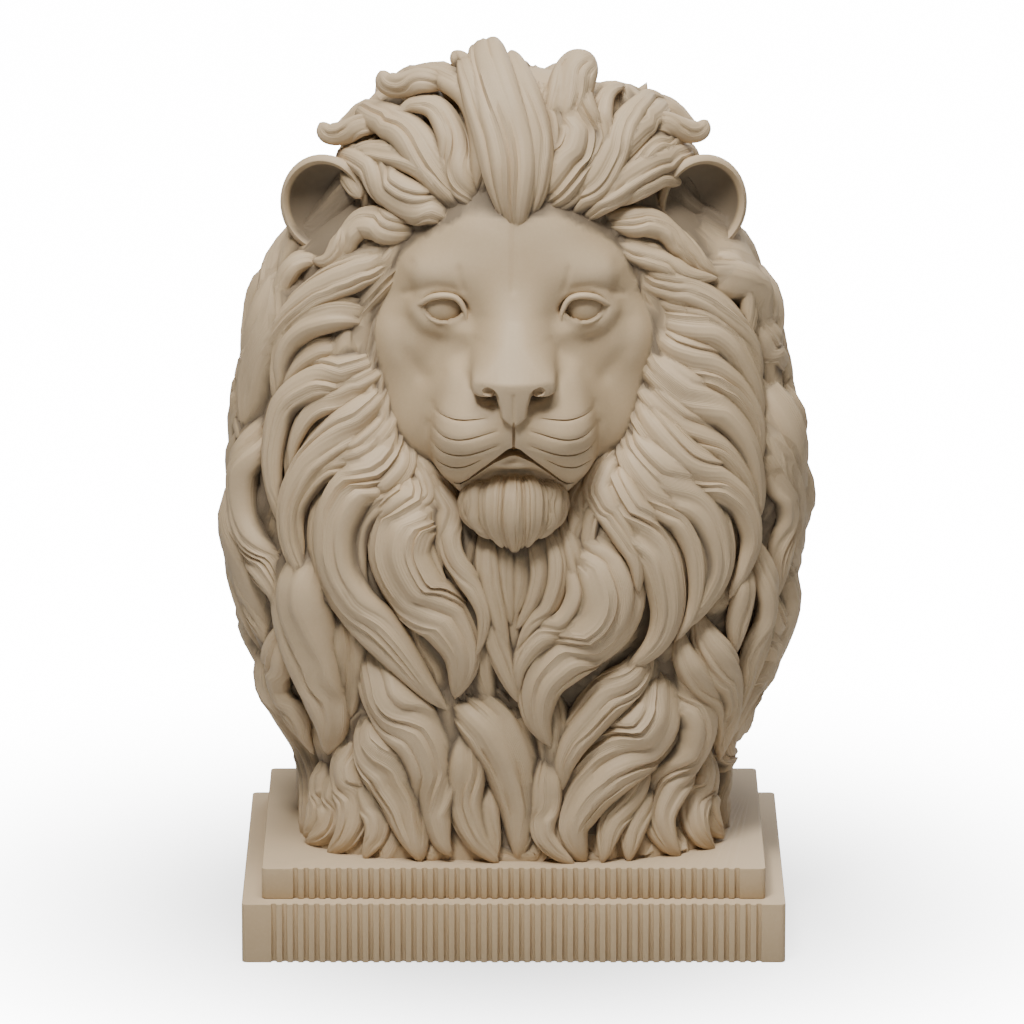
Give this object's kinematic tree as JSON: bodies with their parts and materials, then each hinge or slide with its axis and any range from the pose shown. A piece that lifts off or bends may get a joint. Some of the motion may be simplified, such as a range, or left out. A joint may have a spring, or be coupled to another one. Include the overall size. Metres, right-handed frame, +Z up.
{
  "type": "lion head bust on a plinth",
  "caption": "Lion head bust with a full flowing mane, standing on a two-step reeded plinth.",
  "frame": {"origin": "centre of the lower slab's underside", "axes": "+Z up, the lion looks along -Y, +X is the lion's left and the viewer's right"},
  "size_m": [0.2384, 0.176, 0.371],
  "materials": {
    "sand_stone": "fine cast sand-coloured stone, matt with a faint satin sheen"
  },
  "bodies": {
    "root": {"lion_bust": "sand_stone", "upper_plinth": "sand_stone", "lower_plinth": "sand_stone"}
  },
  "joints": []
}
